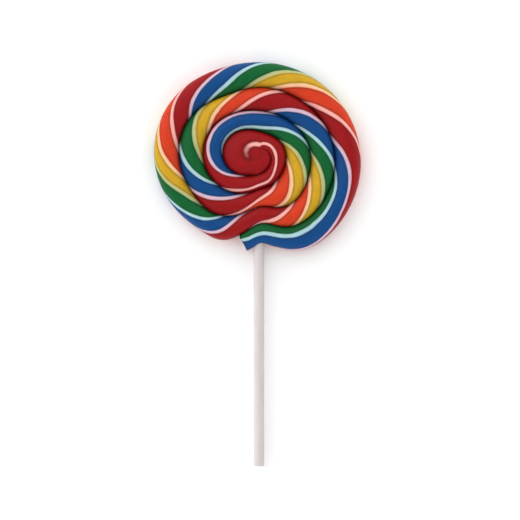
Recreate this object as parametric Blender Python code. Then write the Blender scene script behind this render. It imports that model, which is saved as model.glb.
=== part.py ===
"""Swirl lollipop lying on its back: a flat coil of candy rope on a straight paper stick.

Units are metres, +Z is up. The shown side of the coil faces +Z and the stick points to -Y.
The origin is the centre of the lowest face of the box around the whole lollipop.
Angles are in degrees, measured anticlockwise from +X about the eye of the coil. They are
unwrapped: the rope starts at the cut tail near 264 and gains 360 with every turn inward.
"""

import math

import bmesh
import bpy
from mathutils import Vector

MM = 0.001

# ---------------------------------------------------------------- the coil's edge, in mm
# The rope's outer edge starts at START_RADIUS and closes in by PITCH each turn, and by less
# as the rope thins. The same curve one turn later is the rope's inner edge, so neighbouring
# turns meet on one crease.
START_ANGLE = 264.0
START_RADIUS = 41.7
PITCH = 10.2
THINNING = 0.4
OFF_CENTRE = 3.0             # the turns sit this far off the eye
OFF_CENTRE_ANGLE = 205.0     # in this direction
OVAL = 1.3                   # they are longer by this much each way
OVAL_ANGLE = -5.0            # in this direction
# The stick was pushed in through the turns and dented each crease that it passed.
DENT_ANGLE = 272.0
DENT_SPREAD = 12.5
DENT_DEPTHS = (7.4, 6.0, 3.2, 1.0)  # from the outermost crease inward
PINCH_ANGLE = 272.0          # the stick also nips the outer side of the tail
PINCH_SPREAD = 3.0
PINCH_DEPTH = 1.0
# Places where the hand-rolled rope is fuller or flatter: angle, spread, height.
SWELLS = (
    (474.0, 20.0, -1.0),
    (608.0, 9.0, 1.7),
    (840.0, 18.0, -1.9),
    (952.0, 12.0, 1.6),
    (1028.0, 14.0, 0.9),
    (1215.0, 45.0, -0.6),
    (1410.0, 35.0, -1.4),
)
CORE_ANGLE = 1690.0          # from here the last bit of rope tapers into the eye
EYE_ANGLE = 1880.0           # and the edge curve would reach the eye here

# ---------------------------------------------------------------- the cut tail
CUT_ANGLE = 257.4            # inner corner of the cut end
CUT_SLANT = 6.5              # the outer corner lies this much further round
CUT_SLANT_SPREAD = 12.0

# ---------------------------------------------------------------- the rope's section, in mm
THICKNESS = 8.4
TAIL_THINNING = 0.8          # the tail is pressed thinner than the rest
TOP_CREASE = 2.2             # depth of the groove between turns, shown side
TOP_ARC = 50.0               # the rope's back is an arc of this much each way
FILLED_SHARE = 0.35          # candy that the stick pushed up makes the grooves over it shallower
FILLED_SPREAD = 9.0
BASE_CREASE = 1.1            # depth of the groove between turns, underside
FLAT_SHARE = 0.44            # share of the rope's width that lies flat on the table
EDGE_ROUNDNESS = 2.4         # of the free outer side
TOP_ROWS = (0.0, 0.03, 0.12, 0.28, 0.5, 0.72, 0.88, 1.0)
BASE_ROWS = (0.0, 0.04, 0.14, 0.28, 0.72, 0.88, 1.0)

COLUMNS_PER_TURN = 60
COLUMN_STEP = 360.0 / COLUMNS_PER_TURN
LAST_COLUMN = 267            # the column next to the eye

# ---------------------------------------------------------------- the stick, in mm
STICK_RADIUS = 1.94
STICK_X = 0.37               # the stick's axis, from the eye of the coil
STICK_Z = 3.9                # and above the table
STICK_TIP = -14.6            # end inside the candy, from the eye of the coil
STICK_END = -114.5           # free end, from the eye of the coil
STICK_BEVEL = 0.2
GAP = 0.3                    # clearance between the stick and its hole
STICK_SIDES = 32

CANDY_COLOUR = (0.43, 0.02, 0.03, 1.0)
STICK_COLOUR = (0.78, 0.72, 0.71, 1.0)


def bell(x, spread):
    """Smooth hump of height one."""
    return math.exp(-0.5 * (x / spread) ** 2)


def edge_radius(angle):
    """Distance of the rope's outer edge from the eye of the coil, in mm."""
    if angle >= EYE_ANGLE:
        return 0.0
    at = min(angle, CORE_ANGLE)
    turns = (at - START_ANGLE) / 360.0
    radius = START_RADIUS - PITCH * turns + THINNING * turns ** 2
    radius += OFF_CENTRE * math.cos(math.radians(at - OFF_CENTRE_ANGLE))
    radius += OVAL * math.cos(math.radians(2.0 * (at - OVAL_ANGLE)))
    for turn, depth in enumerate(DENT_DEPTHS):
        radius -= depth * bell(at - DENT_ANGLE - 360.0 * turn, DENT_SPREAD)
    radius -= PINCH_DEPTH * bell(at - PINCH_ANGLE, PINCH_SPREAD)
    for centre, spread, height in SWELLS:
        radius += height * bell(at - centre, spread)
    taper = max(0.0, (angle - CORE_ANGLE) / (EYE_ANGLE - CORE_ANGLE))
    return radius * (1.0 - taper) ** 0.85


def column_angle(column):
    """Unwrapped angle of a column of the coil, at the rope's inner edge."""
    return CUT_ANGLE + COLUMN_STEP * column


def flat_place(column, across):
    """Place in the plane, in mm, of a point across the rope: 0 outer edge, 1 inner edge."""
    base = column_angle(column)
    slant = CUT_SLANT * math.exp(-(base - CUT_ANGLE) / CUT_SLANT_SPREAD)
    angle = base + slant * (1.0 - across)
    outer = edge_radius(max(angle, CUT_ANGLE + CUT_SLANT))
    inner = 0.0
    if column + COLUMNS_PER_TURN <= LAST_COLUMN:
        inner = edge_radius(angle + 360.0)
    radius = outer + (inner - outer) * across
    turned = math.radians(angle)
    return radius * math.cos(turned), radius * math.sin(turned)


def crease_share(column):
    """How deep the crease at a column's outer edge is: 1 full, 0 where there is none."""
    if column > LAST_COLUMN:
        return 0.0
    left = (EYE_ANGLE - column_angle(column)) / (EYE_ANGLE - CORE_ANGLE)
    return min(1.0, max(0.1, left))


def top_groove(column, rim):
    """Depth of the shown side below the crest, in mm; rim is 0 on the crest and 1 in the crease."""
    arc = math.radians(TOP_ARC)
    fall = 1.0 - math.sqrt(1.0 - (rim * math.sin(arc)) ** 2)
    past_stick = (column_angle(column) - DENT_ANGLE + 180.0) % 360.0 - 180.0
    filled = FILLED_SHARE * bell(past_stick, FILLED_SPREAD)
    depth = TOP_CREASE * crease_share(column) * (1.0 - filled)
    return depth * fall / (1.0 - math.cos(arc))


def crest_height(column):
    """Height of the rope's back above the table, in mm."""
    from_cut = column_angle(column) - CUT_ANGLE
    return THICKNESS - TAIL_THINNING * math.exp(-from_cut / 25.0)


def free_share(column):
    """1 where the outer side is free, 0 where another turn is fused to it."""
    if column >= COLUMNS_PER_TURN:
        return 0.0
    to_end = COLUMNS_PER_TURN - column
    return min(1.0, to_end / 3.0)


def top_height(column, across):
    """Height of the shown side, in mm."""
    crest = crest_height(column)
    middle = THICKNESS / 2.0
    if across < 0.5:
        rim = (1.0 - 2.0 * across)
        fused = crest - top_groove(column, rim)
        free = middle + (crest - middle) * math.sqrt(1.0 - rim ** EDGE_ROUNDNESS)
        share = free_share(column)
        return share * free + (1.0 - share) * fused
    rim = 2.0 * across - 1.0
    return crest - top_groove(column + COLUMNS_PER_TURN, rim)


def base_height(column, across):
    """Height of the underside, in mm; zero where the rope lies on the table."""
    rim = abs(2.0 * across - 1.0)
    lift = max(0.0, (rim - FLAT_SHARE) / (1.0 - FLAT_SHARE))
    if across < 0.5:
        fused = BASE_CREASE * crease_share(column) * lift ** 1.5
        free = THICKNESS / 2.0 * (1.0 - math.sqrt(max(0.0, 1.0 - lift ** 2)))
        share = free_share(column)
        return share * free + (1.0 - share) * fused
    return BASE_CREASE * crease_share(column + COLUMNS_PER_TURN) * lift ** 1.5


def build_sheet(bm, rows, height, rim, eye):
    """Vertices of one side of the coil: a list of rows for each column.

    rim holds the vertices of the free outer edge, which both sides share.
    """
    sheet = []
    for column in range(LAST_COLUMN + 1):
        line = []
        for across in rows:
            if across == 0.0 and column < COLUMNS_PER_TURN:
                line.append(rim[column])
                continue
            if across == 1.0:
                line.append(None)
                continue
            x, y = flat_place(column, across)
            line.append(bm.verts.new((x * MM, y * MM, height(column, across) * MM)))
        sheet.append(line)
    for column in range(LAST_COLUMN + 1):
        neighbour = column + COLUMNS_PER_TURN
        sheet[column][-1] = sheet[neighbour][0] if neighbour <= LAST_COLUMN else eye
    return sheet


def skin_sheet(bm, sheet, upward):
    """Faces between the columns of one side, and the last one round the eye."""
    for column in range(LAST_COLUMN):
        here = sheet[column]
        there = sheet[column + 1]
        for row in range(len(here) - 1):
            corners = [here[row], there[row], there[row + 1], here[row + 1]]
            if corners[2] is corners[3]:
                corners.pop()
            if not upward:
                corners.reverse()
            bm.faces.new(corners)


def close_core(bm, sheet, upward):
    """Face from the last column to the turn outside it, at the eye of the coil."""
    last = sheet[LAST_COLUMN]
    corners = list(last)
    if not upward:
        corners.reverse()
    bm.faces.new(corners)


def build_candy():
    """The coil as one closed body, before the stick's hole is cut."""
    bm = bmesh.new()
    rim = []
    for column in range(COLUMNS_PER_TURN):
        x, y = flat_place(column, 0.0)
        rim.append(bm.verts.new((x * MM, y * MM, THICKNESS / 2.0 * MM)))
    top_eye = bm.verts.new((0.0, 0.0, (THICKNESS - 0.1) * MM))
    base_eye = bm.verts.new((0.0, 0.0, 0.0))
    top = build_sheet(bm, TOP_ROWS, top_height, rim, top_eye)
    base = build_sheet(bm, BASE_ROWS, base_height, rim, base_eye)
    skin_sheet(bm, top, True)
    skin_sheet(bm, base, False)
    close_core(bm, top, True)
    close_core(bm, base, False)

    # the cut face of the tail, and the sliver of wall where the first turn slips behind it
    cut = list(top[0])
    cut.extend(reversed(base[0][1:]))
    bm.faces.new(cut)
    bm.faces.new((rim[-1], base[COLUMNS_PER_TURN][0], top[COLUMNS_PER_TURN][0]))

    bmesh.ops.recalc_face_normals(bm, faces=bm.faces)
    mesh = bpy.data.meshes.new("candy")
    bm.to_mesh(mesh)
    bm.free()
    return mesh


def build_rod(name, radius, length, sides, bevel):
    """Solid round rod along Y, its tip at the origin and its body towards -Y."""
    bm = bmesh.new()
    bmesh.ops.create_cone(bm, cap_ends=True, segments=sides, radius1=radius * MM,
                          radius2=radius * MM, depth=length * MM)
    if bevel > 0.0:
        ends = [e for e in bm.edges if abs(e.verts[0].co.z - e.verts[1].co.z) < 1e-7]
        bmesh.ops.bevel(bm, geom=ends, offset=bevel * MM, segments=1, affect="EDGES")
    for vert in bm.verts:
        x, y, z = vert.co
        vert.co = Vector((x, z - length * MM / 2.0, -y))
    bmesh.ops.recalc_face_normals(bm, faces=bm.faces)
    mesh = bpy.data.meshes.new(name)
    bm.to_mesh(mesh)
    bm.free()
    return mesh


def place(name, mesh, location, material=None):
    """Object for a mesh, linked to the scene, smooth with sharp creases."""
    thing = bpy.data.objects.new(name, mesh)
    bpy.context.scene.collection.objects.link(thing)
    thing.location = location
    if material is not None:
        mesh.materials.append(material)
    mesh.shade_smooth()
    mesh.set_sharp_from_angle(angle=math.radians(50.0))
    return thing


def make_material(name, colour, roughness):
    """Principled material."""
    material = bpy.data.materials.new(name)
    material.use_nodes = True
    shader = material.node_tree.nodes["Principled BSDF"]
    shader.inputs["Base Color"].default_value = colour
    shader.inputs["Roughness"].default_value = roughness
    shader.inputs["Metallic"].default_value = 0.0
    return material


def box_centre(mesh):
    """Place of the eye that puts the origin at the middle of the whole lollipop's box."""
    xs = [vert.co.x for vert in mesh.vertices]
    top = max(vert.co.y for vert in mesh.vertices)
    middle_x = (min(xs) + max(xs)) / 2.0
    middle_y = (top + STICK_END * MM) / 2.0
    return Vector((-middle_x, -middle_y, 0.0))


def build():
    for thing in list(bpy.data.objects):
        bpy.data.objects.remove(thing, do_unlink=True)

    candy_mesh = build_candy()
    eye = box_centre(candy_mesh)
    candy = place("candy", candy_mesh, eye, make_material("candy", CANDY_COLOUR, 0.3))

    axis = eye + Vector((STICK_X, STICK_TIP, STICK_Z)) * MM
    length = STICK_TIP - STICK_END
    rod = build_rod("stick", STICK_RADIUS, length, STICK_SIDES, STICK_BEVEL)
    place("stick", rod, axis, make_material("stick", STICK_COLOUR, 0.7))

    bore = build_rod("stick_hole", STICK_RADIUS + GAP, 40.0, 24, 0.0)
    cutter = place("stick_hole", bore, axis + Vector((0.0, GAP, 0.0)) * MM)
    cutter.hide_render = True
    cutter.display_type = "WIRE"
    cut = candy.modifiers.new("stick hole", "BOOLEAN")
    cut.operation = "DIFFERENCE"
    cut.solver = "EXACT"
    cut.object = cutter


build()
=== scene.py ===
"""Looks of the swirl lollipop: a striped coil of hard candy on a rolled paper stick.

The lollipop lies on a pale floor with its shown side up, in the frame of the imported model:
metres, +Z up, the stick towards -Y. Lengths named below are in millimetres, measured from the
eye of the coil. Angles are in degrees, anticlockwise from +X about the eye, and unwrapped: the
rope starts at the cut tail near 257 and gains 360 with every turn inward.
"""
import math

import bpy
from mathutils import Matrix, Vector


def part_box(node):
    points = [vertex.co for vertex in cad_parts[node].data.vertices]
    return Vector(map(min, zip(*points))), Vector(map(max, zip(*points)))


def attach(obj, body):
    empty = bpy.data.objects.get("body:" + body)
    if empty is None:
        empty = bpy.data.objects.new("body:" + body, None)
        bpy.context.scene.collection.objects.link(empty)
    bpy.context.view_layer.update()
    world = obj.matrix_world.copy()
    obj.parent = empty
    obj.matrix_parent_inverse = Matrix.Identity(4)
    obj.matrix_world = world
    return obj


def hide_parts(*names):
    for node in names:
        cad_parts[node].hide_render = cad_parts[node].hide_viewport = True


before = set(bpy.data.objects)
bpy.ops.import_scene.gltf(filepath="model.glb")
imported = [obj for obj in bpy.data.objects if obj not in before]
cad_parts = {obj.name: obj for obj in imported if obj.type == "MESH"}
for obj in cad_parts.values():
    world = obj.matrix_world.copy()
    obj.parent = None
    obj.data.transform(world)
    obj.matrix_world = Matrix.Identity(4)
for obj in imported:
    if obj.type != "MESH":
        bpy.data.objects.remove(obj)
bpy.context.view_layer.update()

MM = 0.001

# ---------------------------------------------------------------- the coil, as it was packed
START_ANGLE = 264.0
START_RADIUS = 41.7
PITCH = 10.2
THINNING = 0.4
OFF_CENTRE = 3.0
OFF_CENTRE_ANGLE = 205.0
OVAL = 1.3
OVAL_ANGLE = -5.0
DENT_ANGLE = 272.0
DENT_SPREAD = 12.5
DENT_DEPTHS = (7.4, 6.0, 3.2, 1.0)
PINCH_ANGLE = 272.0          # where the stick nips the outer side of the tail
PINCH_SPREAD = 3.0
PINCH_DEPTH = 1.0
SWELLS = (
    (474.0, 20.0, -1.0),
    (608.0, 9.0, 1.7),
    (840.0, 18.0, -1.9),
    (952.0, 12.0, 1.6),
    (1028.0, 14.0, 0.9),
    (1215.0, 45.0, -0.6),
    (1410.0, 35.0, -1.4),
)
CORE_ANGLE = 1690.0
EYE_ANGLE = 1880.0
EYE_TAPER = 0.85             # power by which the last bit of rope closes into the eye
EYE_DIP = 0.1                # the eye lies this much below the rope's back
CUT_ANGLE = 257.4
CUT_SLANT = 6.5
CUT_SLANT_SPREAD = 12.0
CUT_BULGE = 1.4              # the cut end is rounded out by this much more
# Rings on the cut face: share of the outline's size and how far each stands out.
CUT_RINGS = ((0.985, 0.10), (0.955, 0.17), (0.9, 0.2), (0.6, 0.22), (0.3, 0.2))
CUT_MIDDLE = 0.18            # and how far the middle stands out
THICKNESS = 8.4
TAIL_THINNING = 0.8
TAIL_THINNING_SPREAD = 25.0
FLAT_SHARE = 0.44
EDGE_ROUNDNESS = 2.4
BASE_CREASE = 1.1
STICK_X = 0.37               # the stick's axis, from the eye of the coil
STICK_TIP = -14.6            # and its end inside the candy

# ---------------------------------------------------------------- the finer coil shown here
COLUMNS_PER_TURN = 300
COLUMN_STEP = 360.0 / COLUMNS_PER_TURN
LAST_COLUMN = 1345
TOP_STEPS = 34
BASE_SIDE_STEPS = 9
TOP_CREASE = 2.3
TOP_ARC = 50.0               # the rope's back is an arc of this much each way
RIM_ARC = 72.0               # and on the free side it goes round to here at its widest
BASE_ARC = 155.0             # where it meets the table
FILLED_SHARE = 0.35          # grooves are shallower over the stick
FILLED_SPREAD = 9.0
FREE_FADE = 5.0              # the free side ends over this many degrees behind the tail
LINE_DIP = 0.11              # the white lines lie this much lower than the stripes
LINE_DIP_SPREAD = 0.11       # as a stripe count
HOLE_CLEARANCE = 0.04        # the sugar grips the stick closely
HOLE_SIDES = 64
HOLE_LENGTH = 40.0           # the cutter reaches past the coil's outer side
HOLE_SHADED_LOOK = (0.12, 0.9, 0.0, 0.0)  # blue and darkened with painted shade, as a corner's four numbers

# ---------------------------------------------------------------- stripes
# Round the rope run five stripes. The stripe count rises by five once round the rope's girth.
# Each stripe has its share of the count; a white line lies on each border.
STRIPES = (("blue", 1.0), ("red", 1.2), ("orange", 1.0), ("yellow", 0.85), ("green", 0.95))
LINE_WIDTH = 0.2
# Directions where a line crosses the rope's crest, in order from the tail: one row for each
# full twist of the rope, and the last line alone.
LINE_ANGLES = (
    (353, 386, 418, 442, 468),
    (497, 521, 545, 563, 589),
    (610, 647, 675, 702, 729),
    (770, 814, 852, 884, 918),
    (946, 996, 1038, 1076, 1125),
    (1281,),
)
# How the twist runs on at both ends of the rope: angle, stripe count on the crest.
TAIL_TWIST = ((250.0, 0.14), (275.0, 0.06), (300.0, 0.20), (320.0, 0.33), (340.0, 0.65))
CORE_TWIST = ((1320.0, 26.75), (1345.0, 26.9), (1370.0, 26.95), (1392.0, 27.2), (1500.0, 27.3),
              (1882.0, 27.6))
# Where the twisted rope slipped: angle, spread, count at its outer and its inner edge.
SLIPS = ((333.0, 14.0, 0.32, -0.32), (492.0, 16.0, 0.27, -0.27), (614.0, 9.0, 0.0, 0.45),
         (638.0, 8.0, -0.25, 0.0))
LAST_LINE = 27.2             # inside this line the core is red on both sides of it
LINE_END = (1500.0, 1720.0)  # over these angles that line thins out

# ---------------------------------------------------------------- painted shade in the creases and at the coil's free edge
OUTER_SHADE_POWER = 12       # how closely it keeps to the crease on a turn's outer side
FREE_SHADE = 0.35            # at the free edge of the coil
FREE_SHADE_POWER = 30
INNER_SHADE_POWER = 7        # and on a turn's inner side, where it is wider
WIDE_SHADE = 0.14            # share of the inner shade that spreads over half the rope


def bell(x, spread):
    """Smooth hump of height one."""
    return math.exp(-0.5 * (x / spread) ** 2)


def mix(a, b, share):
    return a + (b - a) * share


def ease(x):
    """Smooth step from 0 to 1."""
    x = max(0.0, min(1.0, x))
    return x * x * (3.0 - 2.0 * x)


# ================================================================ the coil's shape
def edge_radius(angle):
    """Distance of the rope's outer edge from the eye, in mm."""
    if angle >= EYE_ANGLE:
        return 0.0
    at = min(angle, CORE_ANGLE)
    turns = (at - START_ANGLE) / 360.0
    radius = START_RADIUS - PITCH * turns + THINNING * turns ** 2
    radius += OFF_CENTRE * math.cos(math.radians(at - OFF_CENTRE_ANGLE))
    radius += OVAL * math.cos(math.radians(2.0 * (at - OVAL_ANGLE)))
    for turn, depth in enumerate(DENT_DEPTHS):
        radius -= depth * bell(at - DENT_ANGLE - 360.0 * turn, DENT_SPREAD)
    for centre, spread, height in SWELLS:
        radius += height * bell(at - centre, spread)
    taper = max(0.0, (angle - CORE_ANGLE) / (EYE_ANGLE - CORE_ANGLE))
    return radius * (1.0 - taper) ** EYE_TAPER


def column_angle(column):
    return CUT_ANGLE + COLUMN_STEP * column


def point_angle(column, across):
    """Angle of a point across the rope; near the cut tail the columns lie slanted."""
    base = column_angle(column)
    near_cut = math.exp(-(base - CUT_ANGLE) / CUT_SLANT_SPREAD)
    bulge = 4.0 * CUT_BULGE * across ** 2 * (1.0 - across)
    return base + (CUT_SLANT * (1.0 - across) - bulge) * near_cut


def flat_place(column, across):
    """Place in the plane, in mm, of a point across the rope: 0 outer edge, 1 inner edge."""
    angle = point_angle(column, across)
    outer = edge_radius(max(angle, CUT_ANGLE + CUT_SLANT))
    inner = 0.0
    if column + COLUMNS_PER_TURN <= LAST_COLUMN:
        inner = edge_radius(angle + 360.0)
    radius = mix(outer, inner, across)
    radius -= PINCH_DEPTH * bell(angle - PINCH_ANGLE, PINCH_SPREAD) * (1.0 - across) ** 4
    turned = math.radians(angle)
    return radius * math.cos(turned), radius * math.sin(turned)


def crease_share(column):
    """How deep the crease at a column's outer edge is: 1 full, 0 where there is none."""
    if column > LAST_COLUMN:
        return 0.0
    left = (EYE_ANGLE - column_angle(column)) / (EYE_ANGLE - CORE_ANGLE)
    return min(1.0, max(0.1, left))


def free_share(column):
    """1 where the outer side is free, 0 where another turn is fused to it."""
    if column >= COLUMNS_PER_TURN:
        return 0.0
    to_end = (COLUMNS_PER_TURN - column) * COLUMN_STEP
    return min(1.0, to_end / FREE_FADE)


def crest_height(column):
    """Height of the rope's back above the table, in mm."""
    from_cut = column_angle(column) - CUT_ANGLE
    return THICKNESS - TAIL_THINNING * math.exp(-from_cut / TAIL_THINNING_SPREAD)


def top_groove(column, rim):
    """Depth of the shown side below the crest; rim is 0 on the crest and 1 in the crease."""
    arc = math.radians(TOP_ARC)
    fall = 1.0 - math.sqrt(1.0 - (rim * math.sin(arc)) ** 2)
    past_stick = (column_angle(column) - DENT_ANGLE + 180.0) % 360.0 - 180.0
    filled = FILLED_SHARE * bell(past_stick, FILLED_SPREAD)
    depth = TOP_CREASE * crease_share(column) * (1.0 - filled)
    return depth * fall / (1.0 - math.cos(arc))


def line_dip(column, across, under):
    """Depth of the shallow valley along a white line, fading out towards the creases."""
    count = stripe_count(column, across, under) % 5.0
    border = 0.0
    nearest = min(count, 5.0 - count)
    for _, width in STRIPES:
        border += width
        nearest = min(nearest, abs(count - border))
    rim = abs(2.0 * across - 1.0)
    return LINE_DIP * bell(nearest, LINE_DIP_SPREAD) * (1.0 - rim ** 6)


def top_height(column, across):
    """Height of the shown side, in mm."""
    crest = crest_height(column)
    middle = THICKNESS / 2.0
    if across < 0.5:
        rim = 1.0 - 2.0 * across
        fused = crest - top_groove(column, rim)
        free = middle + (crest - middle) * math.sqrt(1.0 - rim ** EDGE_ROUNDNESS)
        height = mix(fused, free, free_share(column))
    else:
        rim = 2.0 * across - 1.0
        crest = mix(crest, crest_height(column + COLUMNS_PER_TURN), rim * rim)
        height = crest - top_groove(column + COLUMNS_PER_TURN, rim)
    return height - line_dip(column, across, False)


def base_height(column, across):
    """Height of the underside, in mm; zero where the rope lies on the table."""
    rim = abs(2.0 * across - 1.0)
    lift = max(0.0, (rim - FLAT_SHARE) / (1.0 - FLAT_SHARE))
    if across < 0.5:
        fused = BASE_CREASE * crease_share(column) * lift ** 1.5
        free = THICKNESS / 2.0 * (1.0 - math.sqrt(max(0.0, 1.0 - lift ** 2)))
        return mix(fused, free, free_share(column))
    return BASE_CREASE * crease_share(column + COLUMNS_PER_TURN) * lift ** 1.5


# ================================================================ the stripes' course
def twist_points():
    """(angle, stripe count on the rope's crest) along the whole rope."""
    points = list(TAIL_TWIST)
    count = 0.0
    for row in LINE_ANGLES:
        for angle, (_, width) in zip(row, STRIPES):
            count += width
            points.append((float(angle), count))
    points.extend(CORE_TWIST)
    return points


TWIST = twist_points()


def twist_slope(k):
    """Slope of the twist curve at one of its points, from its neighbours."""
    last = len(TWIST) - 1
    a = max(k - 1, 0)
    b = min(k + 1, last)
    if k in (0, last):
        return (TWIST[b][1] - TWIST[a][1]) / (TWIST[b][0] - TWIST[a][0])
    before = TWIST[k][0] - TWIST[a][0]
    after = TWIST[b][0] - TWIST[k][0]
    rise_before = (TWIST[k][1] - TWIST[a][1]) / before
    rise_after = (TWIST[b][1] - TWIST[k][1]) / after
    return (rise_before * after + rise_after * before) / (before + after)


def twist(angle):
    """Stripe count on the rope's crest, smooth through the twist points."""
    here = 0
    while here < len(TWIST) - 2 and angle >= TWIST[here + 1][0]:
        here += 1
    length = TWIST[here + 1][0] - TWIST[here][0]
    t = (angle - TWIST[here][0]) / length
    a = TWIST[here][1]
    b = TWIST[here + 1][1]
    return (
        (2.0 * t ** 3 - 3.0 * t ** 2 + 1.0) * a
        + (t ** 3 - 2.0 * t ** 2 + t) * length * twist_slope(here)
        + (3.0 * t ** 2 - 2.0 * t ** 3) * b
        + (t ** 3 - t ** 2) * length * twist_slope(here + 1)
    )


def girth_angle(column, across, under):
    """Angle round the rope's girth, in degrees: 0 on the crest, growing over the outer side."""
    reach = math.sin(math.radians(TOP_ARC))
    lean = math.degrees(math.asin(max(-1.0, min(1.0, (1.0 - 2.0 * across) * reach))))
    free = free_share(column) if across < 0.5 else 0.0
    rim = 1.0 - 2.0 * across
    if not under:
        if free == 0.0:
            return lean
        drop = 1.0 - math.sqrt(1.0 - rim ** EDGE_ROUNDNESS)
        return lean + free * (RIM_ARC - TOP_ARC) * drop
    fused = 180.0 - lean
    if free == 0.0:
        return fused
    if rim > FLAT_SHARE:
        tilt = math.asin((rim - FLAT_SHARE) / (1.0 - FLAT_SHARE)) / (math.pi / 2.0)
        round_side = mix(BASE_ARC, RIM_ARC, tilt)
    else:
        round_side = mix(180.0, BASE_ARC, rim / FLAT_SHARE)
    return mix(fused, round_side, free)


def stripe_count(column, across, under):
    """Stripe count at a point of the rope's surface; white lines lie on its borders."""
    angle = min(point_angle(column, across), CORE_TWIST[-1][0])
    count = twist(angle) + 5.0 * girth_angle(column, across, under) / 360.0
    for centre, spread, outer, inner in SLIPS:
        count += mix(outer, inner, across) * bell(angle - centre, spread)
    ended = ease((angle - LINE_END[0]) / (LINE_END[1] - LINE_END[0])) * LINE_WIDTH
    return LAST_LINE - math.hypot(LAST_LINE - count, ended)


def shade(column, across, under):
    """How much painted shade a place gets: 0 on the rope's back, 1 in a crease."""
    rim = abs(2.0 * across - 1.0)
    if across < 0.5:
        fused = crease_share(column) * rim ** OUTER_SHADE_POWER
        free = FREE_SHADE * rim ** FREE_SHADE_POWER
        return mix(fused, free, free_share(column))
    near = (1.0 - WIDE_SHADE) * rim ** INNER_SHADE_POWER
    return crease_share(column + COLUMNS_PER_TURN) * (near + WIDE_SHADE * rim ** 2)


# ================================================================ the candy's mesh
def top_rows():
    """Places across the rope, close together at both edges."""
    return [0.5 * (1.0 - math.cos(math.pi * k / TOP_STEPS)) for k in range(TOP_STEPS + 1)]


def base_rows():
    """Places across the underside: two round sides and a flat between them."""
    side = 0.5 * (1.0 - FLAT_SHARE)
    outer = [side * (1.0 - math.cos(0.5 * math.pi * k / BASE_SIDE_STEPS))
             for k in range(BASE_SIDE_STEPS + 1)]
    inner = [1.0 - place for place in reversed(outer)]
    return outer + [0.5] + inner


def rope_lengths():
    """Distance along the middle of the rope, in mm, from the tail to each column."""
    lengths = [0.0]
    x, y = flat_place(0, 0.5)
    for column in range(1, LAST_COLUMN + 1):
        next_x, next_y = flat_place(column, 0.5)
        lengths.append(lengths[-1] + math.hypot(next_x - x, next_y - y))
        x, y = next_x, next_y
    return lengths


class Mesh:
    """Collects vertices and faces, with what the material reads at each face corner."""

    def __init__(self, name, layers):
        self.name = name
        self.layers = layers
        self.places = []
        self.faces = []
        self.corners = []

    def vertex(self, x, y, z):
        self.places.append((x * MM, y * MM, z * MM))
        return len(self.places) - 1

    def face(self, vertices, looks):
        self.faces.append(vertices)
        self.corners.extend(looks)

    def finish(self):
        """The mesh, with two numbers of each corner in each of its UV layers."""
        mesh = bpy.data.meshes.new(self.name)
        mesh.from_pydata(self.places, [], self.faces)
        for number, layer in enumerate(self.layers):
            values = []
            for corner in self.corners:
                values.extend(corner[2 * number:2 * number + 2])
            mesh.uv_layers.new(name=layer).data.foreach_set("uv", values)
        mesh.shade_smooth()
        return mesh


ROPE_LENGTHS = rope_lengths()


def looks_of(column, across, under):
    """At a corner: stripe count, painted shade, place round the rope and place along it in mm."""
    count = stripe_count(column, across, under)
    side = -1.0 if under else 1.0
    return count / 5.0, shade(column, across, under), across * side, ROPE_LENGTHS[column]


def build_sheet(made, rows, height, rim, eye_vertex):
    """Vertices of one side of the coil, as a list of rows for each column."""
    sheet = []
    for column in range(LAST_COLUMN + 1):
        line = []
        for across in rows[:-1]:
            if across == 0.0 and column < COLUMNS_PER_TURN:
                line.append(rim[column])
                continue
            x, y = flat_place(column, across)
            line.append(made.vertex(x, y, height(column, across)))
        sheet.append(line)
    for column in range(LAST_COLUMN + 1):
        neighbour = column + COLUMNS_PER_TURN
        sheet[column].append(sheet[neighbour][0] if neighbour <= LAST_COLUMN else eye_vertex)
    return sheet


def skin_sheet(made, sheet, rows, under):
    """Faces between the columns of one side, and the last one round the eye."""
    looks = [[looks_of(column, across, under) for across in rows]
             for column in range(LAST_COLUMN + 1)]
    for column in range(LAST_COLUMN):
        for row in range(len(rows) - 1):
            ring = [(column, row), (column + 1, row), (column + 1, row + 1), (column, row + 1)]
            if sheet[column][row + 1] == sheet[column + 1][row + 1]:
                ring.pop()
            if under:
                ring.reverse()
            made.face([sheet[c][r] for c, r in ring], [looks[c][r] for c, r in ring])
    ring = [(LAST_COLUMN, row) for row in range(len(rows))]
    if under:
        ring.reverse()
    made.face([sheet[c][r] for c, r in ring], [looks[c][r] for c, r in ring])


def cap_tail(made, top, base, rows_above, rows_below):
    """The cut face: rings from the rope's outline to its middle, bulging a little.

    Each ring keeps the stripes of the outline, so they meet in the middle as in a real cut.
    """
    outline = [(vertex, looks_of(0, across, False)) for vertex, across in zip(top[0], rows_above)]
    below = [(vertex, looks_of(0, across, True)) for vertex, across in zip(base[0], rows_below)]
    outline.extend(reversed(below[1:]))
    spots = [Vector(made.places[vertex]) / MM for vertex, _ in outline]
    outer = Vector(flat_place(0, 0.0)).to_3d()
    inner = Vector(flat_place(0, 1.0)).to_3d()
    middle = (outer + inner) / 2.0 + Vector((0.0, 0.0, crest_height(0) / 2.0))
    ahead = Vector((0.0, 0.0, 1.0)).cross(inner - outer).normalized()
    previous = [vertex for vertex, _ in outline]
    for size, out in CUT_RINGS:
        ring = [made.vertex(*(middle + (spot - middle) * size + ahead * out)) for spot in spots]
        for k in range(len(ring)):
            after = (k + 1) % len(ring)
            made.face([previous[after], previous[k], ring[k], ring[after]],
                      [outline[after][1], outline[k][1], outline[k][1], outline[after][1]])
        previous = ring
    centre = made.vertex(*(middle + ahead * CUT_MIDDLE))
    for k in range(len(previous)):
        after = (k + 1) % len(previous)
        made.face([previous[after], previous[k], centre],
                  [outline[after][1], outline[k][1], outline[k][1]])


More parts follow.
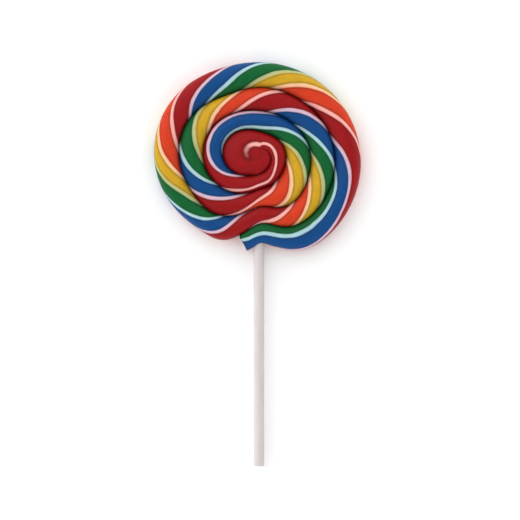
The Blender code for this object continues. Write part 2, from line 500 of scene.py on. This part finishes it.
def build_candy():
    """The whole coil as one closed mesh, before the stick's hole is cut."""
    made = Mesh("candy_coil", ("stripes", "rope"))
    rows_above = top_rows()
    rows_below = base_rows()
    rim = []
    for column in range(COLUMNS_PER_TURN):
        x, y = flat_place(column, 0.0)
        rim.append(made.vertex(x, y, THICKNESS / 2.0))
    top_eye = made.vertex(0.0, 0.0, THICKNESS - EYE_DIP)
    base_eye = made.vertex(0.0, 0.0, 0.0)
    top = build_sheet(made, rows_above, top_height, rim, top_eye)
    base = build_sheet(made, rows_below, base_height, rim, base_eye)
    skin_sheet(made, top, rows_above, False)
    skin_sheet(made, base, rows_below, True)
    cap_tail(made, top, base, rows_above, rows_below)
    wall = [rim[-1], base[COLUMNS_PER_TURN][0], top[COLUMNS_PER_TURN][0]]
    made.face(wall, [looks_of(COLUMNS_PER_TURN - 1, 0.0, False)] * 3)
    return made.finish()


# ================================================================ the stick's mesh
STICK_SIDES = 96
STICK_RINGS = 110
SEAM = 152.0                 # direction of the paper's outer end, seen along the stick
SEAM_LEDGE = 0.05            # how far that end stands above the layer below it
END_ROUND = 0.22             # the ends are rounded by this much
END_ROUND_STEPS = 5
END_LAYER = 0.22             # spacing of the rolled layers seen on the end
END_RELIEF = 0.05
END_RINGS = 32


def stick_ring(radius):
    """Places round the stick: x, z and share of the turn; the seam's ledge closes the ring."""
    ring = []
    for k in range(STICK_SIDES + 1):
        share = k / STICK_SIDES
        angle = math.radians(SEAM + 360.0 * share)
        reach = radius * (1.0 - (1.0 - share) * SEAM_LEDGE / stick_radius)
        ring.append((reach * math.cos(angle), reach * math.sin(angle), share))
    return ring


def end_profile():
    """Radius share and setback of the rings from the stick's side to the middle of its end."""
    profile = []
    for step in range(1, END_ROUND_STEPS + 1):
        turned = 0.5 * math.pi * step / END_ROUND_STEPS
        inset = END_ROUND * (1.0 - math.cos(turned))
        profile.append(((stick_radius - inset) / stick_radius, END_ROUND * (1.0 - math.sin(turned))))
    flat = profile[-1][0]
    for step in range(1, END_RINGS):
        profile.append((flat * (1.0 - step / END_RINGS), 0.0))
    return profile


def build_stick(length):
    """The stick along Y, from its free end at 0 to its tip at length, centred on its axis."""
    made = Mesh("paper_stick", ("roll",))
    rings = []

    def add_ring(share_of_radius, y, sunk):
        ring = []
        for x, z, share in stick_ring(stick_radius * share_of_radius):
            layer = (share_of_radius * stick_radius / END_LAYER + share) % 1.0
            relief = END_RELIEF * abs(2.0 * layer - 1.0) if sunk else 0.0
            away = relief if y < length / 2.0 else -relief
            ring.append((made.vertex(x, y + away, z), (share, y)))
        rings.append(ring)

    for size, setback in reversed(end_profile()):
        add_ring(size, setback, setback == 0.0)
    for k in range(STICK_RINGS + 1):
        add_ring(1.0, mix(END_ROUND, length - END_ROUND, k / STICK_RINGS), False)
    for size, setback in end_profile():
        add_ring(size, length - setback, setback == 0.0)

    for lower, upper in zip(rings, rings[1:]):
        for k in range(STICK_SIDES + 1):
            after = (k + 1) % (STICK_SIDES + 1)
            corners = (lower[after], lower[k], upper[k], upper[after])
            made.face([vertex for vertex, _ in corners], [look for _, look in corners])
    for ring, y in ((rings[0], 0.0), (rings[-1], length)):
        centre = made.vertex(0.0, y, 0.0)
        for k in range(STICK_SIDES + 1):
            after = (k + 1) % (STICK_SIDES + 1)
            corners = [ring[k], ring[after], (centre, (ring[k][1][0], y))]
            if y > 0.0:
                corners.reverse()
            made.face([vertex for vertex, _ in corners], [look for _, look in corners])
    return made.finish()


# ================================================================ materials
def linear(red, green, blue):
    """Scene-linear colour, with alpha, of an sRGB colour written from 0 to 255."""
    values = []
    for value in (red, green, blue):
        share = value / 255.0
        values.append(share / 12.92 if share <= 0.04045 else ((share + 0.055) / 1.055) ** 2.4)
    return (*values, 1.0)


class Nodes:
    """Short calls to write a material's node tree."""

    def __init__(self, name):
        self.material = bpy.data.materials.new(name)
        self.material.use_nodes = True
        self.tree = self.material.node_tree
        self.shader = self.tree.nodes["Principled BSDF"]

    def put(self, socket, value):
        """Link a socket to another, or set it to a value."""
        if isinstance(value, bpy.types.NodeSocket):
            self.tree.links.new(value, socket)
        else:
            socket.default_value = value

    def add(self, kind, inputs=None, **settings):
        node = self.tree.nodes.new("ShaderNode" + kind)
        for name, value in settings.items():
            setattr(node, name, value)
        for name, value in (inputs or {}).items():
            self.put(node.inputs[name], value)
        return node

    def math(self, operation, a, b=0.0):
        return self.add("Math", {0: a, 1: b}, operation=operation).outputs[0]

    def uv(self, layer):
        """The two numbers of a UV layer."""
        split = self.add("SeparateXYZ", {0: self.add("UVMap", uv_map=layer).outputs["UV"]})
        return split.outputs["X"], split.outputs["Y"]

    def noise(self, x, y, z, detail):
        """Noise in a space with its own scale on each axis, from 0 to 1."""
        place = self.add("CombineXYZ", {0: x, 1: y, 2: z}).outputs[0]
        settings = {"Vector": place, "Scale": 1.0, "Detail": detail, "Roughness": 0.55}
        return self.add("TexNoise", settings).outputs["Fac"]

    def between(self, share, low, high):
        """A value from low to high as share goes from 0 to 1."""
        inputs = {"Value": share, "To Min": low, "To Max": high}
        return self.add("MapRange", inputs).outputs["Result"]

    def blend(self, kind, share, a, b):
        """Two colours mixed by Blender's blend type."""
        node = self.add("Mix", data_type="RGBA", blend_type=kind)
        self.put(node.inputs["Factor"], share)
        self.put(node.inputs["A"], a)
        self.put(node.inputs["B"], b)
        return node.outputs["Result"]

    def bump(self, height, distance, strength, normal=None):
        inputs = {"Height": height, "Distance": distance, "Strength": strength}
        if normal is not None:
            inputs["Normal"] = normal
        return self.add("Bump", inputs).outputs["Normal"]


# The dye of each stripe, and of the white line after it, which took some from both its sides.
BODY = {"blue": (10, 70, 130), "red": (150, 15, 20), "orange": (210, 60, 30),
        "yellow": (205, 160, 35), "green": (10, 95, 45)}
LINES = {"blue": (228, 196, 212), "red": (255, 190, 182), "orange": (250, 200, 160),
         "yellow": (190, 194, 138), "green": (186, 220, 226)}
LINE_LEAN = 0.10             # each half of a line leans this much to the stripe beside it
EDGE_SHADE = 0.78             # painted shade: a stripe is this dark beside its lines
EDGE_WIDTH = 0.16            # as far as this from them, as a stripe count
LINE_SOFTNESS = 0.035        # of a white line's edge
# painted shade: the creases and the coil's free edge are darkened towards this colour
CREASE_SHADE_COLOUR = (0.05, 0.03, 0.04, 1.0)
BORDER_WANDER = 0.009        # stripe borders stray this far, as a stripe count
STREAK_TONE = (0.75, 1.07)   # darkest and lightest streak
CLOUD_TONE = (0.84, 1.16)    # darkest and lightest patch
SUGAR_ROUGHNESS = (0.30, 0.52)


def leaning(line, body):
    """Colour of the half of a white line that lies beside a stripe."""
    return tuple(mix(a, b, LINE_LEAN) for a, b in zip(line, body))


def stripe_stops():
    """(stripe count, colour) round the rope: each stripe, its edges darkened by painted shade and
    its white lines.
    """
    stops = []
    border = 0.0
    half = LINE_WIDTH / 2.0
    before = LINES[STRIPES[-1][0]]
    for name, width in STRIPES:
        body = BODY[name]
        # painted shade beside the white lines
        edge = tuple(EDGE_SHADE * part for part in body)
        stops.append((border + half - LINE_SOFTNESS, leaning(before, body)))
        stops.append((border + half + LINE_SOFTNESS, edge))
        stops.append((border + half + EDGE_WIDTH, body))
        border += width
        before = LINES[name]
        stops.append((border - half - EDGE_WIDTH, body))
        stops.append((border - half - LINE_SOFTNESS, edge))
        stops.append((border - half + LINE_SOFTNESS, leaning(before, body)))
    return stops


def candy_material():
    """Pulled sugar: striped, with fine streaks along the stripes and painted shade in the creases.
    """
    made = Nodes("candy_sugar")
    # the stripes layer holds the stripe count and the painted shade of the creases
    count, crease = made.uv("stripes")
    across, along = made.uv("rope")

    # the borders wander a little along the rope
    slow = made.math("MULTIPLY", along, 0.16)
    wander = made.noise(made.math("MULTIPLY", count, 12.0), slow, 0.0, 2.0)
    moved = made.math("ADD", count, made.between(wander, -BORDER_WANDER, BORDER_WANDER))
    ramp = made.add("ValToRGB", {"Fac": made.math("FRACT", moved)})
    stops = stripe_stops()
    elements = ramp.color_ramp.elements
    while len(elements) > 1:
        elements.remove(elements[-1])
    elements[0].position = stops[0][0] / 5.0
    elements[0].color = linear(*stops[0][1])
    for place, colour in stops[1:]:
        elements.new(place / 5.0).color = linear(*colour)

    # streaks where the sugar was pulled, and cloudy patches
    long = made.math("MULTIPLY", along, 0.22)
    streak = made.noise(made.math("MULTIPLY", count, 110.0), long, 3.0, 3.0)
    cloud = made.noise(made.math("MULTIPLY", count, 14.0), made.math("MULTIPLY", along, 0.45),
                       made.math("MULTIPLY", across, 2.0), 3.0)
    tone = made.math("MULTIPLY", made.between(streak, *STREAK_TONE),
                     made.between(cloud, *CLOUD_TONE))
    grey = made.add("CombineXYZ", {0: tone, 1: tone, 2: tone}).outputs[0]
    streaked = made.blend("MULTIPLY", 1.0, ramp.outputs["Color"], grey)
    # painted shade: darken the creases and the free edge
    made.put(made.shader.inputs["Base Color"],
             made.blend("MULTIPLY", crease, streaked, CREASE_SHADE_COLOUR))

    made.put(made.shader.inputs["Roughness"], made.between(cloud, *SUGAR_ROUGHNESS))
    made.shader.inputs["Specular IOR Level"].default_value = 0.12
    pores = made.add("TexNoise", {"Vector": made.add("TexCoord").outputs["Object"],
                                  "Scale": 900.0, "Detail": 2.0}).outputs["Fac"]
    ribs = made.bump(streak, 0.00008, 0.5)
    made.put(made.shader.inputs["Normal"], made.bump(pores, 0.00003, 0.25, ribs))
    return made.material


PAPER_LIGHT = (213, 210, 209)
PAPER_WARM = (209, 198, 197)
# painted shade down one side of the stick
PAPER_SIDE_SHADE = (0.80, 0.78, 0.76, 1.0)
SHADED_SIDE = 0.60            # painted shade: share of the turn where the stick is darkest
# painted shade: the seam is real, its grey line darkens the stick's left edge
SEAM_SHADE_TINT = (0.78, 0.79, 0.79, 1.0)
SEAM_SHADE_STRENGTH = 0.8
SEAM_WIDTH = 0.045           # as a share of the turn
FIBRE_TONE = (0.93, 1.07)    # darkest and lightest fibre
PAPER_ROUGHNESS = (0.62, 0.82)
FLOOR_COLOUR = (0.96, 0.96, 0.96, 1.0)


def paper_material():
    """Rolled white paper: long fibres, a faint warm cast, a grey line of painted shade along the
    seam, and painted shade down one side.
    """
    made = Nodes("stick_paper")
    share, along = made.uv("roll")
    fibre = made.noise(made.math("MULTIPLY", share, 160.0), made.math("MULTIPLY", along, 1.2),
                       0.0, 4.0)
    cast = made.noise(made.math("MULTIPLY", share, 3.0), made.math("MULTIPLY", along, 0.09),
                      5.0, 2.0)
    paper = made.blend("MIX", made.between(cast, -0.4, 1.4), linear(*PAPER_LIGHT),
                       linear(*PAPER_WARM))
    tone = made.between(fibre, *FIBRE_TONE)
    grey = made.add("CombineXYZ", {0: tone, 1: tone, 2: tone}).outputs[0]
    fibred = made.blend("MULTIPLY", 1.0, paper, grey)
    # painted shade: a grey line along the seam
    seam = made.add("MapRange", {"Value": share, "From Min": 0.0, "From Max": SEAM_WIDTH,
                                 "To Min": SEAM_SHADE_STRENGTH, "To Max": 0.0}).outputs["Result"]
    seamed = made.blend("MULTIPLY", seam, fibred, SEAM_SHADE_TINT)
    # painted shade: one side of the stick is darkened
    turned = made.math("MULTIPLY", made.math("SUBTRACT", share, SHADED_SIDE), 2.0 * math.pi)
    facing = made.math("MULTIPLY", made.math("ADD", made.math("COSINE", turned), 1.0), 0.5)
    made.put(made.shader.inputs["Base Color"],
             made.blend("MULTIPLY", made.math("POWER", facing, 1.5), seamed, PAPER_SIDE_SHADE))
    made.put(made.shader.inputs["Roughness"], made.between(fibre, *PAPER_ROUGHNESS))
    made.shader.inputs["Specular IOR Level"].default_value = 0.2
    made.put(made.shader.inputs["Normal"], made.bump(fibre, 0.00006, 0.5))
    return made.material


def floor_material():
    """Smooth white card."""
    made = Nodes("floor_card")
    place = made.add("TexCoord").outputs["Object"]
    grain = made.add("TexNoise", {"Vector": place, "Scale": 400.0, "Detail": 3.0}).outputs["Fac"]
    made.shader.inputs["Base Color"].default_value = FLOOR_COLOUR
    made.shader.inputs["Roughness"].default_value = 0.9
    made.shader.inputs["Specular IOR Level"].default_value = 0.1
    made.put(made.shader.inputs["Normal"], made.bump(grain, 0.00002, 0.1))
    return made.material


# ================================================================ placing
def link(name, data, location=(0.0, 0.0, 0.0)):
    thing = bpy.data.objects.new(name, data)
    bpy.context.scene.collection.objects.link(thing)
    thing.location = location
    return thing


def stick_bore(length):
    """Round cutter for the stick's hole, along Y, from its inner end at 0 towards -Y."""
    made = Mesh("stick_bore", ("stripes", "rope"))
    ends = []
    for y in (-length, HOLE_CLEARANCE):
        ring = []
        for k in range(HOLE_SIDES):
            angle = 2.0 * math.pi * k / HOLE_SIDES
            reach = stick_radius + HOLE_CLEARANCE
            ring.append(made.vertex(reach * math.cos(angle), y, reach * math.sin(angle)))
        ends.append(ring)
    front, back = ends
    for k in range(HOLE_SIDES):
        after = (k + 1) % HOLE_SIDES
        made.face([front[after], front[k], back[k], back[after]], [HOLE_SHADED_LOOK] * 4)
    made.face(list(front), [HOLE_SHADED_LOOK] * HOLE_SIDES)
    made.face(list(reversed(back)), [HOLE_SHADED_LOOK] * HOLE_SIDES)
    return made.finish()


def cut_hole(piece, cutter):
    """Cut the stick's hole into the candy for good."""
    cut = piece.modifiers.new("stick hole", "BOOLEAN")
    cut.solver = "EXACT"
    cut.object = cutter
    graph = bpy.context.evaluated_depsgraph_get()
    holed = bpy.data.meshes.new_from_object(piece.evaluated_get(graph))
    piece.modifiers.clear()
    piece.data = holed
    bpy.data.objects.remove(cutter)


stick_low, stick_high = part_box("stick")
stick_axis = (stick_low + stick_high) / 2.0
stick_radius = (stick_high.z - stick_low.z) / 2.0 / MM
eye = Vector((stick_axis.x - STICK_X * MM, stick_high.y - STICK_TIP * MM, 0.0))

candy = link("candy_coil", build_candy(), eye)
stick_entry = Vector((stick_axis.x, stick_high.y, stick_axis.z))
cut_hole(candy, link("stick_bore", stick_bore(HOLE_LENGTH), stick_entry))
candy.data.materials.clear()
candy.data.materials.append(candy_material())
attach(candy, "root")
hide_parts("candy")

stick_length = (stick_high.y - stick_low.y) / MM
stick = link("paper_stick", build_stick(stick_length),
             Vector((stick_axis.x, stick_low.y, stick_axis.z)))
stick.data.materials.append(paper_material())
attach(stick, "root")
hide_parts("stick")


# ================================================================ floor, light and camera
FLOOR_SIZE = 6.0             # in metres, as the lamp's sizes are
FLOOR_DROP = 0.00005         # it lies this much below the lollipop
SKY_LOW = 1.92               # brightness of the sky near the floor
SKY_HIGH = 0.70              # and overhead
SKY_HEIGHTS = (0.05, 0.8)    # heights on the unit sphere between which it changes
KEY_AZIMUTH = 135.0
KEY_ELEVATION = 50.0
KEY_DISTANCE = 1.4
KEY_SIZE = 1.8
KEY_WATTS = 8.2
VIEW_WIDTH = 190.5           # of the picture at the height of the stick, in mm
VIEW_HEIGHT = 4.2
VIEW_CENTRE = (0.73, -39.0)  # from the eye of the coil, in mm
LENS = 300.0
SENSOR = 36.0


def lay_floor():
    half = FLOOR_SIZE / 2.0
    mesh = bpy.data.meshes.new("floor")
    corners = [(-half, -half, 0.0), (half, -half, 0.0), (half, half, 0.0), (-half, half, 0.0)]
    mesh.from_pydata(corners, [], [(0, 1, 2, 3)])
    mesh.materials.append(floor_material())
    floor = link("floor", mesh, (0.0, 0.0, -FLOOR_DROP))


def light_sky():
    """A soft white room: brighter round the sides than overhead."""
    world = bpy.data.worlds.new("studio")
    bpy.context.scene.world = world
    world.use_nodes = True
    tree = world.node_tree
    way = tree.nodes.new("ShaderNodeTexCoord")
    split = tree.nodes.new("ShaderNodeSeparateXYZ")
    tree.links.new(way.outputs["Generated"], split.inputs[0])
    fall = tree.nodes.new("ShaderNodeMapRange")
    tree.links.new(split.outputs["Z"], fall.inputs["Value"])
    fall.inputs["From Min"].default_value = SKY_HEIGHTS[0]
    fall.inputs["From Max"].default_value = SKY_HEIGHTS[1]
    fall.inputs["To Min"].default_value = SKY_LOW
    fall.inputs["To Max"].default_value = SKY_HIGH
    background = tree.nodes["Background"]
    background.inputs["Color"].default_value = (1.0, 1.0, 1.0, 1.0)
    tree.links.new(fall.outputs["Result"], background.inputs["Strength"])


def hang_key():
    """One large soft lamp, up and to the left of the candy."""
    lamp = bpy.data.lights.new("key", "AREA")
    lamp.shape = "SQUARE"
    lamp.size = KEY_SIZE
    lamp.energy = KEY_WATTS
    azimuth = math.radians(KEY_AZIMUTH)
    elevation = math.radians(KEY_ELEVATION)
    level = Vector((math.cos(azimuth), math.sin(azimuth), 0.0)) * math.cos(elevation)
    away = (level + Vector((0.0, 0.0, math.sin(elevation)))) * KEY_DISTANCE
    thing = link("key", lamp, eye + away)
    thing.rotation_euler = (-away).to_track_quat("-Z", "Y").to_euler()


def set_camera():
    """Straight above the lollipop, far away, as the lollipop is seen square on."""
    data = bpy.data.cameras.new("camera")
    data.lens = LENS
    data.sensor_width = SENSOR
    data.clip_end = 10.0
    height = VIEW_WIDTH / SENSOR * LENS + VIEW_HEIGHT
    place = eye + Vector((VIEW_CENTRE[0], VIEW_CENTRE[1], height)) * MM
    bpy.context.scene.camera = link("camera", data, place)
    bpy.context.scene.view_settings.view_transform = "Standard"


lay_floor()
light_sky()
hang_key()
set_camera()
